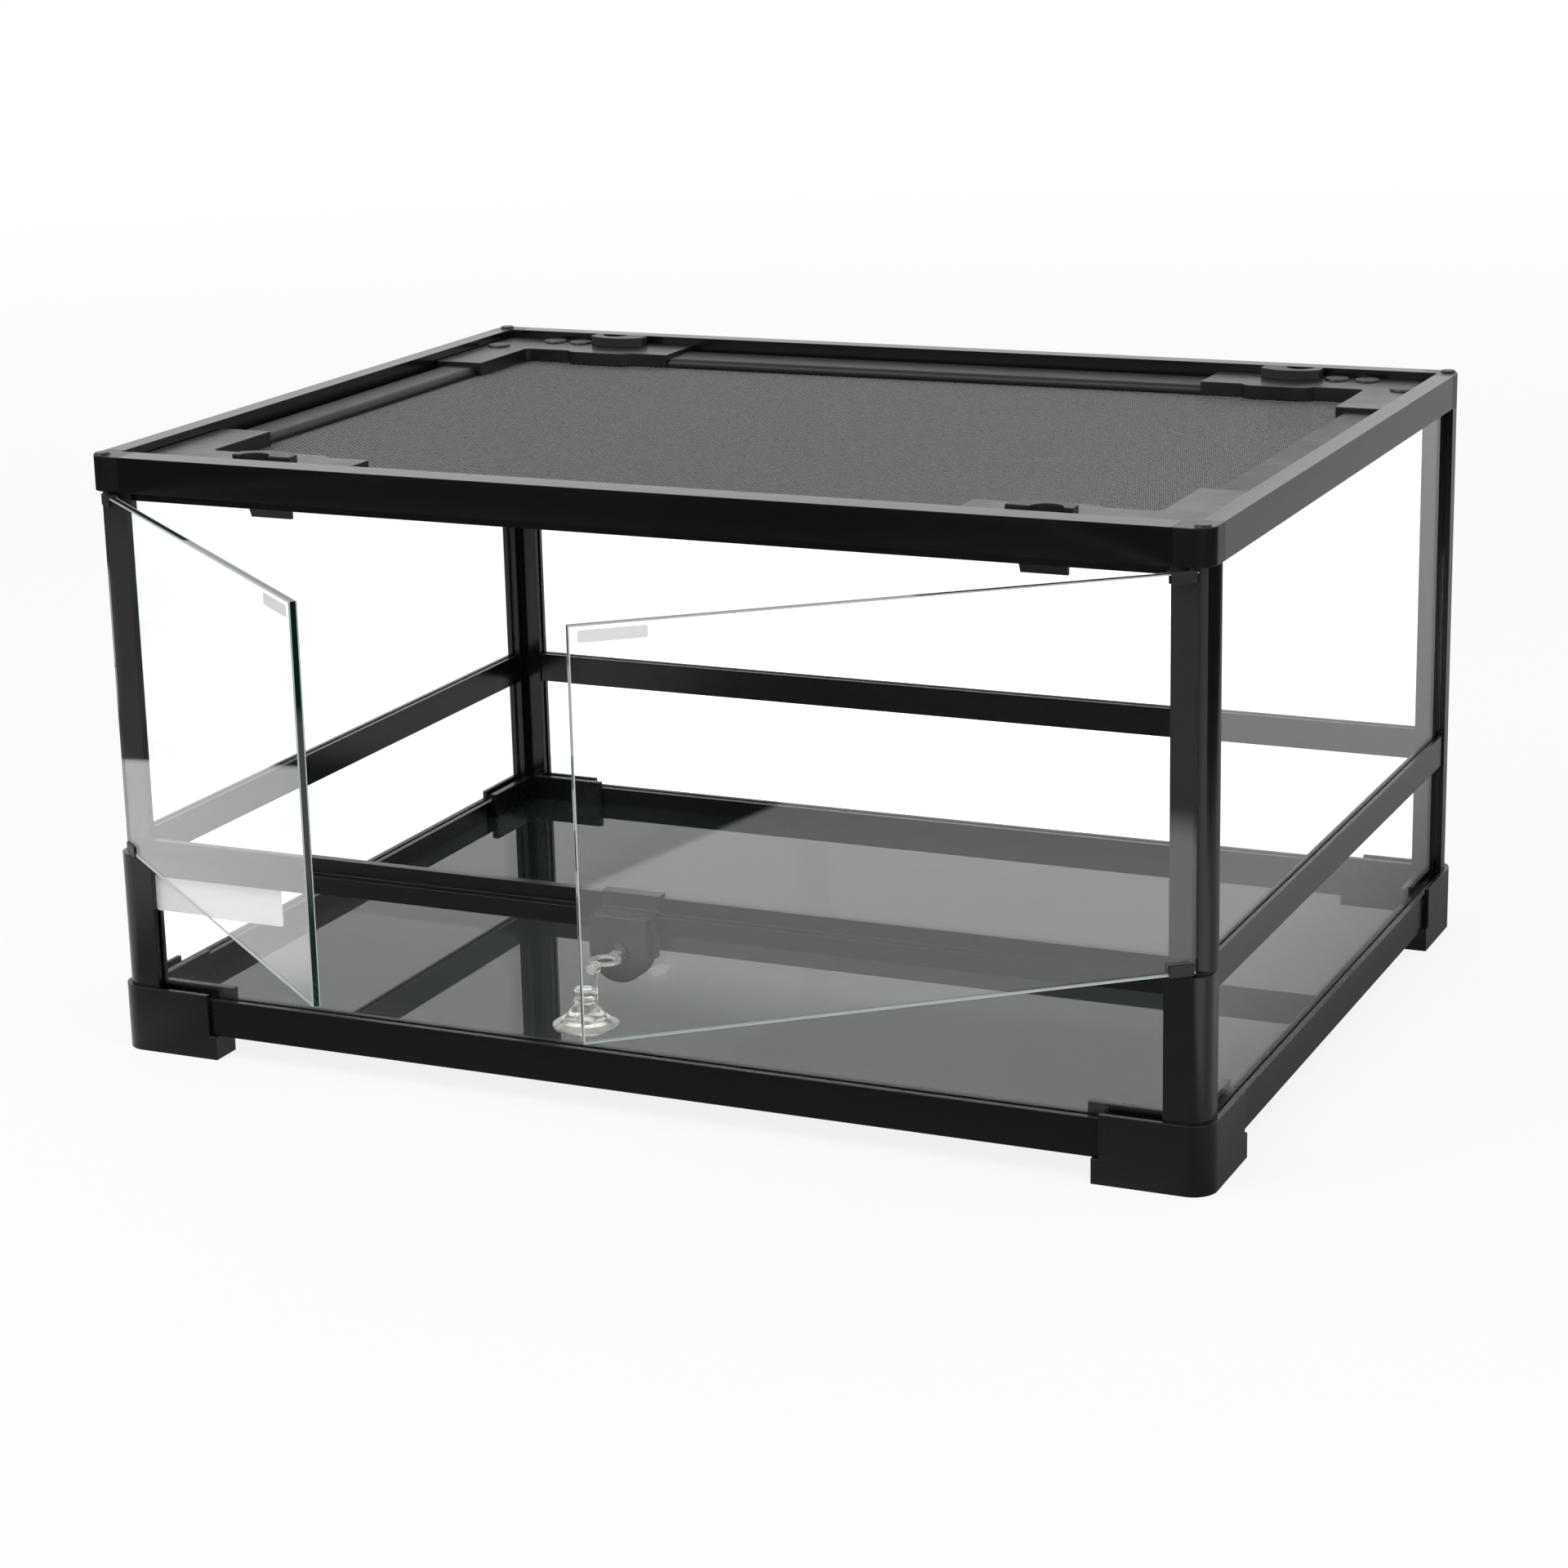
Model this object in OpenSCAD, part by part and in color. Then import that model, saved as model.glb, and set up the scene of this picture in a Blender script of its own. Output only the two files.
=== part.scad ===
// Front-opening glass terrarium: a black framed tank on four corner feet, two
// hinged glass doors over a fixed lower window, a lift-off mesh lid held by four
// sliding latches, and a keyed lock that hangs on the door sill.
//
// Origin: centre of the footprint, on the surface that the feet stand on.
// +X is to the right of someone facing the doors, +Y to the back, +Z up.

/* [Tank] */
// Overall width of the frame
tank_w = 610; // [420:1:900]
// Overall depth of the frame
tank_d = 457; // [380:1:620]
// Height from the standing surface to the top of the frame
tank_h = 325; // [280:1:600]
// Radius of the four vertical corners
corner_r = 10; // [8:0.5:11]
// Thickness of the frame profiles, outer face to inner face
frame_t = 11; // [10:0.5:14]
// Visible joint between two pieces of the frame
seam = 0.15; // [0.05:0.05:0.3]

/* [Base] */
// Clear height under the base rails
base_gap = 13; // [8:0.5:24]
// Height of a base rail
base_rail_h = 20; // [16:0.5:30]
// Height of a corner foot
foot_h = 36; // [30:0.5:44]
// Length of each arm of a foot, from the corner of the frame
foot_arm = 56; // [45:1:80]
// How far a foot stands out from the rails
foot_proud = 2.5; // [1.5:0.1:4]
// Thickness of the bottom pane
floor_t = 4; // [3:0.5:6]

/* [Posts] */
// Width of a post seen from the front
post_front_w = 22; // [20:0.5:30]
// Width of a post seen from the side
post_side_w = 17; // [16:0.5:26]
// Room behind the glass of the doors, which close flush with the frame
door_rebate = 2; // [1.7:0.1:3]

/* [Rails] */
// Height of a top rail
top_rail_h = 18.5; // [18:0.5:28]
// Width of the flat on top of the front rail
front_rail_w = 16; // [14:0.5:22]
// Drop of the lip that the doors close against
front_lip = 5; // [3:0.5:8]
// Length of each arm of a top corner
top_corner_arm = 19; // [17:0.5:30]
// Reach of the ledge that carries the lid
ledge_w = 8; // [6:0.5:10]
// Thickness of that ledge
ledge_t = 2.5; // [2:0.1:4]
// Height of the top of the sill and of the middle rails
sill_top = 117.5; // [90:0.5:150]
// Height of the sill and of the middle rails
sill_h = 17.5; // [14:0.5:22]
// Height of the sill's stop lip behind the doors
sill_lip = 8; // [5:0.5:10]

/* [Glass] */
// Thickness of the fixed panes
pane_t = 4; // [3:0.5:5]
// Distance from the outer face of the frame to a fixed pane
pane_inset = 3.5; // [2.5:0.1:4.5]
// Clearance on each side of a pane in its groove
pane_play = 0.3; // [0.2:0.05:0.5]
// Depth of the grooves that hold the panes
groove_depth = 5; // [4:0.5:6]

/* [Doors] */
// Thickness of the door glass
door_t = 4; // [3:0.5:4.5]
// Distance from the side of the frame to a door pivot
pivot_inset = 10; // [8:0.5:14]
// Glass beyond the pivot, towards the side
door_overhang = 2.5; // [1.5:0.1:2.8]
// Gap between the free edges of the closed doors
door_gap = 5; // [4:0.5:8]
// Radius of the pivot pins
pin_r = 1.5; // [1.2:0.1:1.8]
// Radial clearance of a pivot pin in its socket
pin_play = 0.05; // [0.02:0.01:0.1]
// Opening angle of the left door
left_open = 39.5; // [0:0.5:100]
// Opening angle of the right door
right_open = 40; // [0:0.5:100]

/* [Lid] */
// Depth of the corner plates below the top of the frame
lid_drop = 4.5; // [3:0.5:7]
// Step from the corner plates down to the lid rails
lid_step = 2.5; // [1.5:0.1:4]
// Clearance between the lid and the frame
lid_play = 1.2; // [0.8:0.1:2]
// Width of the front and back lid rails
lid_rail_fb = 33; // [26:0.5:44]
// Width of the side lid rails
lid_rail_lr = 24; // [20:0.5:36]
// Length of a corner plate along the front or back
plate_x = 125; // [115:1:160]
// Length of a corner plate along the side
plate_y = 95; // [70:1:130]
// Distance from the side of the frame to the middle of a latch
latch_x = 92; // [85:1:110]
// Width of a latch pad
latch_w = 34; // [28:0.5:38]
// Width of a latch hook
hook_w = 24; // [18:0.5:26]
// Travel of a latch
latch_travel = 4; // [3:0.5:4.5]
// Diameter of a cable port plug
plug_d = 14; // [10:0.5:16]

/* [Lock] */
// Width of the lock body
lock_w = 32; // [26:0.5:40]
// Height of the lock body below the door shelf
lock_h = 34; // [30:0.5:44]
// Depth of the lock body
lock_t = 10.5; // [9:0.5:18]
// Radius of the key cylinder
cylinder_r = 4.75; // [4:0.25:6]
// Length of key that stands out of the cylinder
key_out = 30; // [28:0.5:36]
// Rise of the bolt as the key turns
bolt_rise = 5; // [4:0.5:6]
// Diameter of the suction cup
cup_d = 33; // [28:0.5:36]

/* [Hidden] */
$fn = 48;
eps = 0.01;

// Levels
base_top = base_gap + base_rail_h;
rail_z = tank_h - top_rail_h;
sill_z = sill_top - sill_h;
sill_shelf = sill_top - sill_lip;
ledge_top = rail_z + ledge_t;
lid_top = tank_h - lid_drop;
lid_rail_top = lid_top - lid_step;
mesh_z = lid_rail_top - 6;
floor_z = base_gap + 6;

// Panes
groove_w = pane_t + 2 * pane_play;
pane_bite = groove_depth - 1;
rail_bite = 4;
lower_z0 = base_top - groove_depth + 1;
lower_z1 = sill_z + rail_bite - 1;
upper_z0 = sill_top - rail_bite + 1;
upper_z1 = rail_z + groove_depth - 1;

// Doors
door_face = 0.3;
door_mid = door_face + door_t / 2;
shoe_h = 5;
shoe_l = 11;
shoe_wall = 0.8;
door_z0 = sill_shelf + 1.8;
door_z1 = rail_z - 2;
door_len = tank_w / 2 - pivot_inset - door_gap / 2;
rebate_d = door_t + door_rebate;
pin_len = 5;
socket_len = pin_len + 0.5;

// Lid, measured from the outer faces of the frame
lid_side = frame_t + lid_play;
lid_front = front_rail_w + lid_play;
lid_inset = 3;
lid_w = tank_w - 2 * lid_side;
lid_d = tank_d - lid_front - frame_t - lid_play;
lid_mid_y = (lid_front - frame_t - lid_play) / 2;
plate_w_fb = lid_rail_fb + lid_inset + 1;
plate_w_lr = lid_rail_lr + lid_inset + 3;
mesh_t = 0.8;
mesh_play = 0.1;
mesh_edge_x = lid_inset + lid_rail_lr - 5;
mesh_edge_y = lid_inset + lid_rail_fb - 5;

// Latches: the hook drops just inside the ledge
hook_t = 3;
hook_reach = 4;
hook_clear = 0.6;
hook_low = rail_z - 14.5;
hook_v = ledge_w - lid_play + hook_clear + hook_reach;
latch_u = latch_x - lid_side;

// Lock: the body hangs in front of the sill, below the path of the doors, by a
// flat strap that passes under them, up behind them and over the stop lip
lock_gap = 0.3;
strap_t = 0.9;
strap_play = 0.2;
strap_low = sill_shelf + strap_play / 2;
lock_top = strap_low + strap_t;
lock_z = lock_top - lock_h;
cylinder_z = lock_z + 16;
lock_back = -lock_gap;
lock_face = lock_back - lock_t;
pocket_w = 21;
pocket_t = 3.4;
bolt_t = 1.5;
bolt_w = pocket_w - 0.6;
bolt_low = cylinder_z + cylinder_r + 1;
cam_t = 1;

// Key and what hangs from it
key_tip = lock_face - key_out;
stub_len = 9;
stub_r = 1.5;
bow_r = 8;
link_wire = 0.7;
link_play = 0.15;
link_y = key_tip + 5;
key_ring_r = stub_r + link_play + link_wire;
neck_r = 4.2;
head_r = 5.4;
cup_ring_r = neck_r + link_play + link_wire;
strand_r = 0.6;
cup_offset = head_r + 0.2 + strand_r;
cup_h = 19.5;
cup_neck_z = 13.2;
cup_drop = 12;
cup_z = cylinder_z - cup_drop - cup_h;

black = "#1d1b1b";
black_soft = "#2b2929";
lid_grey = "#3a3838";
glass = [0.80, 0.90, 0.88, 0.35];
floor_grey = [0.42, 0.44, 0.45, 0.9];
steel = "#b9b7b0";
clear_plastic = [0.93, 0.94, 0.88, 0.6];

// ---------------------------------------------------------------- helpers

// Draws its children at one corner of the frame. They are modelled for the
// front left corner, with that corner at the origin and the frame in +X, +Y.
module at_corner(side, end)
    translate([side * tank_w / 2, end * tank_d / 2, 0])
        mirror([side > 0 ? 1 : 0, 0, 0])
            mirror([0, end > 0 ? 1 : 0, 0])
                children();

// Sweeps a profile (inward, up) along +X, starting at x = from.
module along_x(from, length)
    translate([from, 0, 0]) rotate([90, 0, 90]) linear_extrude(length) children();

// Sweeps a profile (inward, up) along +Y, starting at y = from.
module along_y(from, length)
    translate([0, from + length, 0]) rotate([90, 0, 0]) linear_extrude(length) children();

// Places something modelled on the left side on the left or on the right.
module on_side(side)
    translate([side * tank_w / 2, 0, 0]) mirror([side > 0 ? 1 : 0, 0, 0]) children();

// Places something modelled on the front on the front or on the back.
module on_end(end)
    translate([0, end * tank_d / 2, 0]) mirror([0, end > 0 ? 1 : 0, 0]) children();

// A rectangle whose corner at the origin is rounded.
module rounded_corner_rect(w, d, r) {
    difference() {
        square([w, d]);
        square([r, r]);
    }
    intersection() {
        translate([r, r]) circle(r);
        square([r + eps, r + eps]);
    }
}

// The plan of an angle: two arms of thickness t that meet at the origin,
// rounded outside by r.
module angle_plan(arm_x, arm_y, t, r) {
    difference() {
        rounded_corner_rect(arm_x, arm_y, r);
        translate([t, t]) square([arm_x, arm_y]);
    }
}

// A rectangle rounded at all four corners: two bars and four discs.
module round_rect(size, r) {
    translate([0, r]) square([size[0], size[1] - 2 * r]);
    translate([r, 0]) square([size[0] - 2 * r, size[1]]);
    for (x = [r, size[0] - r], y = [r, size[1] - r])
        translate([x, y]) circle(r);
}

// ------------------------------------------------------------------- base

// Profile of a base rail: groove on top for the pane, shelf inside for the floor.
module base_rail_profile() {
    shelf = 6;
    shelf_t = 2.5;
    difference() {
        translate([0, base_gap]) square([frame_t, base_rail_h]);
        translate([pane_inset - pane_play, base_top - groove_depth])
            square([groove_w, groove_depth + 1]);
    }
    translate([frame_t - eps, floor_z - shelf_t]) square([shelf + eps, shelf_t]);
}

module base_rail_x(end)
    color(black) on_end(end)
        along_x(-tank_w / 2 + post_front_w + seam, tank_w - 2 * (post_front_w + seam))
            base_rail_profile();

module base_rail_y(side)
    color(black) on_side(side)
        along_y(-tank_d / 2 + post_side_w + seam, tank_d - 2 * (post_side_w + seam))
            base_rail_profile();

// A foot: an angle-shaped pad under the rails with a wall that wraps them.
module foot(side, end) {
    outer_r = corner_r + foot_proud;
    pad_w = frame_t + foot_proud + 5;
    color(black) at_corner(side, end)
        translate([-foot_proud, -foot_proud, 0]) {
            linear_extrude(base_gap)
                angle_plan(foot_arm + 4, foot_arm + 4, pad_w, outer_r);
            difference() {
                linear_extrude(foot_h)
                    angle_plan(foot_arm, foot_arm, pad_w, outer_r);
                translate([foot_proud, foot_proud, base_gap])
                    linear_extrude(foot_h)
                        rounded_corner_rect(foot_arm + 10, foot_arm + 10, corner_r);
            }
        }
}

// Blocks that tie the base rails together inside the four corners.
module base_corner_blocks() {
    block_h = 4.5;
    block_t = 4;
    arm = 52;
    color(black_soft)
        for (side = [-1, 1], end = [-1, 1])
            at_corner(side, end)
                translate([frame_t, frame_t, floor_z + floor_t])
                    linear_extrude(base_top - floor_z - floor_t + block_h)
                        difference() {
                            angle_plan(arm, arm, block_t, eps);
                            translate([arm - 3, -1]) square([4, 1]);
                        }
}

module floor_pane() {
    color(floor_grey)
        translate([-tank_w / 2 + frame_t + seam, -tank_d / 2 + frame_t + seam, floor_z])
            cube([tank_w - 2 * (frame_t + seam), tank_d - 2 * (frame_t + seam), floor_t]);
}

// ------------------------------------------------------------------ posts

// Grooves in the ends of a post's arms, which take the panes.
module pane_grooves(arm_x, arm_y, with_front, z0, z1) {
    if (with_front)
        translate([arm_x - groove_depth, pane_inset - pane_play, z0])
            cube([groove_depth + 1, groove_w, z1 - z0]);
    translate([pane_inset - pane_play, arm_y - groove_depth, z0])
        cube([groove_w, groove_depth + 1, z1 - z0]);
}

// A back post: one angle section from the feet to the top corner.
module back_post(side) {
    color(black) at_corner(side, 1)
        difference() {
            translate([0, 0, base_gap])
                linear_extrude(rail_z - seam - base_gap)
                    angle_plan(post_front_w, post_side_w, frame_t, corner_r);
            pane_grooves(post_front_w, post_side_w, true, base_gap - 1, rail_z + 1);
        }
}

// A front post: full section up to the door shelf, and set back above it. The
// shelf holds the lower pivot socket.
module front_post(side) {
    color(black) at_corner(side, -1)
        difference() {
            union() {
                translate([0, 0, base_gap])
                    linear_extrude(sill_shelf - base_gap)
                        angle_plan(post_front_w, post_side_w, frame_t, corner_r);
                translate([0, 0, sill_shelf - eps])
                    linear_extrude(rail_z - seam - sill_shelf + eps)
                        difference() {
                            translate([0, rebate_d])
                                rounded_corner_rect(post_front_w,
                                    post_side_w - rebate_d, corner_r);
                            translate([frame_t, frame_t])
                                square([post_front_w, post_side_w]);
                        }
            }
            pane_grooves(post_front_w, post_side_w, true, base_gap - 1, sill_z + rail_bite);
            pane_grooves(post_front_w, post_side_w, false, base_gap - 1, rail_z + 1);
            translate([pivot_inset, door_mid, sill_shelf - socket_len])
                cylinder(h = socket_len + 1, r = pin_r + pin_play);
        }
}

// ------------------------------------------------------------------ rails

// Profile of a middle rail: a pane groove above and below.
module mid_rail_profile() {
    set_back = 1;
    difference() {
        translate([set_back, sill_z]) square([frame_t - 2 * set_back, sill_h]);
        for (z = [sill_z - 1, sill_top - rail_bite])
            translate([pane_inset - pane_play, z]) square([groove_w, rail_bite + 1]);
    }
}

module mid_rail_y(side)
    color(black) on_side(side)
        along_y(-tank_d / 2 + post_side_w + seam, tank_d - 2 * (post_side_w + seam))
            mid_rail_profile();

module mid_rail_back()
    color(black) on_end(1)
        along_x(-tank_w / 2 + post_front_w + seam, tank_w - 2 * (post_front_w + seam))
            mid_rail_profile();

// The sill: flush face below, a shelf that the doors pass over and a stop lip
// behind them.
module door_sill() {
    color(black) on_end(-1)
        along_x(-tank_w / 2 + post_front_w + seam, tank_w - 2 * (post_front_w + seam))
            difference() {
                polygon([
                    [0, sill_z], [frame_t, sill_z], [frame_t, sill_top],
                    [rebate_d, sill_top], [rebate_d, sill_shelf], [0, sill_shelf]
                ]);
                translate([pane_inset - pane_play, sill_z - 1]) square([groove_w, rail_bite + 1]);
            }
}

// Profile of the bar of a side or back top rail, with the pane groove below.
module top_bar_profile()
    difference() {
        translate([0, rail_z]) square([frame_t, top_rail_h]);
        translate([pane_inset - pane_play, rail_z - 1]) square([groove_w, groove_depth + 1]);
    }

// Lays a top rail along X: its bar from corner to corner, then its ledge, which
// ends clear of the side rails' ledges.
module top_rail_x(bar_w) {
    bar_from = -tank_w / 2 + top_corner_arm + seam;
    ledge_from = -tank_w / 2 + max(top_corner_arm, frame_t + ledge_w) + seam;
    along_x(bar_from, -2 * bar_from) children();
    along_x(ledge_from, -2 * ledge_from)
        translate([bar_w - eps, rail_z]) square([ledge_w + eps, ledge_t]);
}

module top_rail_back()
    color(black) on_end(1)
        top_rail_x(frame_t) top_bar_profile();

module top_rail_y(side)
    color(black) on_side(side)
        along_y(-tank_d / 2 + top_corner_arm + seam, tank_d - 2 * (top_corner_arm + seam)) {
            top_bar_profile();
            translate([frame_t - eps, rail_z]) square([ledge_w + eps, ledge_t]);
        }

// The front top rail, with the lip between the posts that the doors close on.
module top_rail_front() {
    lip_t = 3;
    lip_inset = max(post_front_w, top_corner_arm) + seam;
    color(black) on_end(-1) {
        top_rail_x(front_rail_w)
            translate([0, rail_z]) square([front_rail_w, top_rail_h]);
        along_x(-tank_w / 2 + lip_inset, tank_w - 2 * lip_inset)
            translate([rebate_d, rail_z - front_lip])
                square([lip_t, front_lip + eps]);
    }
}

// A top corner: joins two rails over a post. The front ones hold the upper
// pivot socket of a door.
module top_corner(side, end) {
    cap_h = 1.2;
    cap_r = 4.6;
    cap_mid = frame_t - cap_r - 0.3;
    front_w = end < 0 ? front_rail_w : frame_t;
    color(black) at_corner(side, end)
        difference() {
            union() {
                translate([0, 0, rail_z])
                    linear_extrude(top_rail_h)
                        difference() {
                            rounded_corner_rect(top_corner_arm, top_corner_arm, corner_r);
                            translate([frame_t, front_w]) square(top_corner_arm);
                        }
                translate([0, 0, rail_z])
                    linear_extrude(ledge_t)
                        rounded_corner_rect(top_corner_arm, top_corner_arm, corner_r);
                translate([cap_mid, cap_mid, tank_h - eps])
                    cylinder(h = cap_h + eps, r1 = cap_r, r2 = cap_r - 1);
            }
            if (end < 0)
                translate([pivot_inset, door_mid, rail_z - 1])
                    cylinder(h = socket_len + 1, r = pin_r + pin_play);
            translate([0, 0, rail_z - 1])
                linear_extrude(groove_depth + 1) {
                    translate([pane_inset - pane_play, post_side_w - groove_depth])
                        square([groove_w, top_corner_arm]);
                    if (end > 0)
                        translate([post_front_w - groove_depth, pane_inset - pane_play])
                            square([top_corner_arm, groove_w]);
                }
        }
}

// ------------------------------------------------------------------ glass

module pane_x(end, z0, z1, left = post_front_w)
    color(glass) on_end(end)
        translate([-tank_w / 2 + left - pane_bite, pane_inset, z0])
            cube([tank_w - 2 * (left - pane_bite), pane_t, z1 - z0]);

module pane_y(side, z0, z1)
    color(glass) on_side(side)
        translate([pane_inset, -tank_d / 2 + post_side_w - pane_bite, z0])
            cube([pane_t, tank_d - 2 * (post_side_w - pane_bite), z1 - z0]);

// ------------------------------------------------------------------ doors

// Turns a door, modelled shut on the left with its pivot at the origin, to its
// opening angle.
module hang_door(side, angle)
    translate([side * (tank_w / 2 - pivot_inset), -tank_d / 2 + door_mid, 0])
        mirror([side > 0 ? 1 : 0, 0, 0])
            rotate([0, 0, -angle])
                children();

module door_glass(side, angle)
    color(glass) hang_door(side, angle)
        translate([-door_overhang, -door_t / 2, door_z0])
            cube([door_overhang + door_len, door_t, door_z1 - door_z0]);

// The upper and lower pivots of a door: a channel clamped on the glass and a pin.
module door_pivots(side, angle) {
    wall = shoe_wall;
    start = -1.5;
    color(black_soft) hang_door(side, angle)
        for (top = [0, 1])
            translate([0, 0, top ? door_z1 : door_z0]) mirror([0, 0, top]) {
                difference() {
                    translate([start, -door_t / 2 - wall, -wall])
                        cube([shoe_l - start, door_t + 2 * wall, shoe_h + wall]);
                    translate([start - 1, -door_t / 2, 0])
                        cube([shoe_l - start + 2, door_t, shoe_h + 1]);
                }
                translate([0, 0, -wall - pin_len]) cylinder(h = pin_len + eps, r = pin_r);
            }
}

// -------------------------------------------------------------------- lid

// Draws its children at one corner of the lid, modelled for the front left one.
module at_lid_corner(side, end)
    translate([side * lid_w / 2, lid_mid_y + end * lid_d / 2, 0])
        mirror([side > 0 ? 1 : 0, 0, 0])
            mirror([0, end > 0 ? 1 : 0, 0])
                children();

// Profile of a lid rail of width w: round top edges and a slot for the mesh.
module lid_rail_profile(w) {
    edge_r = 4;
    low = ledge_top;
    difference() {
        union() {
            translate([0, low]) square([w, lid_rail_top - low - edge_r]);
            translate([edge_r, low]) square([w - 2 * edge_r, lid_rail_top - low]);
            for (x = [edge_r, w - edge_r])
                translate([x, lid_rail_top - edge_r]) circle(edge_r);
        }
        translate([w - 6, mesh_z - mesh_play]) square([7, mesh_t + 2 * mesh_play]);
    }
}

module lid_rail_x(end)
    color(lid_grey)
        translate([0, lid_mid_y + end * (lid_d / 2 - lid_inset), 0])
            mirror([0, end > 0 ? 1 : 0, 0])
                along_x(-lid_w / 2 + plate_x + seam, lid_w - 2 * (plate_x + seam))
                    lid_rail_profile(lid_rail_fb);

module lid_rail_y(side)
    color(lid_grey)
        translate([side * (lid_w / 2 - lid_inset), lid_mid_y, 0])
            mirror([side > 0 ? 1 : 0, 0, 0])
                along_y(-lid_d / 2 + plate_y + seam, lid_d - 2 * (plate_y + seam))
                    lid_rail_profile(lid_rail_lr);

// The inner edge of a corner plate swells around its latch.
module plate_swell() {
    swell = 4.5;
    half = 17;
    flank = 6;
    translate([latch_u, plate_w_fb])
        polygon([
            [-half - flank, -2], [-half - flank / 2, swell / 2 - 0.8],
            [-half, swell - 0.6], [-half + 3, swell], [half - 3, swell],
            [half, swell - 0.6], [half + flank / 2, swell / 2 - 0.8], [half + flank, -2]
        ]);
}

// A moulded corner plate of the lid, with a slot for its latch.
module lid_plate(side, end) {
    slot_play = 0.4;
    inner_r = 4;
    color(lid_grey) at_lid_corner(side, end)
        difference() {
            translate([0, 0, ledge_top])
                linear_extrude(lid_top - ledge_top)
                    difference() {
                        rounded_corner_rect(plate_x, plate_y, 6);
                        difference() {
                            translate([plate_w_lr, plate_w_fb])
                                rounded_corner_rect(plate_x, plate_y, inner_r);
                            plate_swell();
                        }
                    }
            translate([latch_u - hook_w / 2 - slot_play, hook_v - latch_travel - slot_play,
                    ledge_top - 1])
                cube([hook_w + 2 * slot_play, hook_t + latch_travel + 2 * slot_play,
                    lid_top - ledge_top + 2]);
            translate([mesh_edge_x - 1, mesh_edge_y - 1, mesh_z - mesh_play])
                cube([plate_x, plate_y, mesh_t + 2 * mesh_play]);
        }
}

module lid_mesh()
    color(lid_grey)
        translate([-lid_w / 2 + mesh_edge_x, lid_mid_y - lid_d / 2 + mesh_edge_y, mesh_z])
            cube([lid_w - 2 * mesh_edge_x, lid_d - 2 * mesh_edge_y, mesh_t]);

// Push-in plugs over the cable ports of the back corner plates.
module cable_port_plugs() {
    plug_h = 1.2;
    near_u = latch_u - latch_w / 2 - plug_d / 2 - 2.3;
    far_u = near_u - plug_d - 3.5;
    color(black_soft)
        for (side = [-1, 1])
            at_lid_corner(side, 1)
                for (p = [[far_u, 9.5], [near_u, 9.5], [9.5, 34]])
                    translate([p[0], p[1], lid_top])
                        cylinder(h = plug_h, r1 = plug_d / 2, r2 = plug_d / 2 - plug_h / 2);
}

// A latch: an arched pad with a finger scoop on the plate, a stem through the
// slot and a hook below.
module latch(side, end) {
    pad_h = 5.5;
    pad_d = 14;
    arch = 6;
    arch_r = (pow(latch_w / 2, 2) + arch * arch) / (2 * arch);
    pad_v = hook_v - 6;
    scoop_r = 8.5;
    scoop_u = latch_u - 4;
    hook_top = rail_z - 0.5;
    color(black_soft) at_lid_corner(side, end) {
        difference() {
            translate([latch_u, pad_v, lid_top])
                linear_extrude(pad_h)
                    intersection() {
                        translate([0, pad_d - arch_r]) circle(arch_r, $fn = 96);
                        translate([-latch_w / 2, 0]) square([latch_w, pad_d + 1]);
                    }
            translate([scoop_u, pad_v - 1, lid_top + 0.7]) cylinder(h = pad_h, r = scoop_r);
        }
        translate([latch_u - hook_w / 2, hook_v, 0])
            rotate([90, 0, 90]) linear_extrude(hook_w)
                polygon([
                    [0, lid_top + eps], [hook_t, lid_top + eps], [hook_t, hook_low],
                    [1, hook_low], [-hook_reach, hook_top - 3], [-hook_reach, hook_top],
                    [0, hook_top]
                ]);
    }
}

// ------------------------------------------------------------------- lock

// Draws its children with the front face of the frame at y = 0.
module at_lock()
    translate([0, -tank_d / 2, 0]) children();

// Draws its children on the axis of the key cylinder, with +Z of the children
// pointing out of the lock, starting at depth y.
module on_key_axis(y)
    translate([0, y, cylinder_z]) rotate([90, 0, 0]) children();

// Front view of the lock body: square shoulders and a round foot.
module lock_outline() {
    r = lock_w / 2;
    translate([-r, r]) round_rect([lock_w, lock_h - r], 2);
    translate([-r, r]) square([lock_w, 4]);
    intersection() {
        translate([0, r]) circle(r);
        translate([-r, 0]) square([lock_w, r + eps]);
    }
}

// Side view of the strap, from the body's back edge to its end behind the lip.
module strap_outline() {
    riser_y = rebate_d - strap_play;
    over_z = sill_top + strap_play;
    behind_y = frame_t + strap_play;
    end_z = sill_top - 9;
    root_y = lock_back - 1;
    polygon([
        [root_y, strap_low], [riser_y, strap_low], [riser_y, over_z], [behind_y, over_z],
        [behind_y, end_z], [behind_y + strap_t, end_z], [behind_y + strap_t, over_z + strap_t],
        [riser_y - strap_t, over_z + strap_t], [riser_y - strap_t, lock_top],
        [root_y, lock_top]
    ]);
}

module lock_body()
    color("#4b4a4b") at_lock() {
        difference() {
            union() {
                translate([0, lock_back, lock_z]) rotate([90, 0, 0])
                    linear_extrude(lock_t) lock_outline();
                translate([lock_w / 2 - eps, lock_back - 5, lock_z + 13])
                    cube([2.5, 4, 18]);
            }
            on_key_axis(1) cylinder(h = lock_t + 4, r = cylinder_r + 0.05);
            on_key_axis(lock_face + 0.8) cylinder(h = 2, r = cylinder_r + 2.2);
            // pocket in the back for the cam and the bolt, open above
            translate([-pocket_w / 2, lock_back - pocket_t, cylinder_z - pocket_w / 2])
                cube([pocket_w, pocket_t + 1, lock_h]);
        }
        translate([-lock_w / 2, 0, 0]) rotate([90, 0, 90])
            linear_extrude(lock_w) strap_outline();
    }

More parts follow.
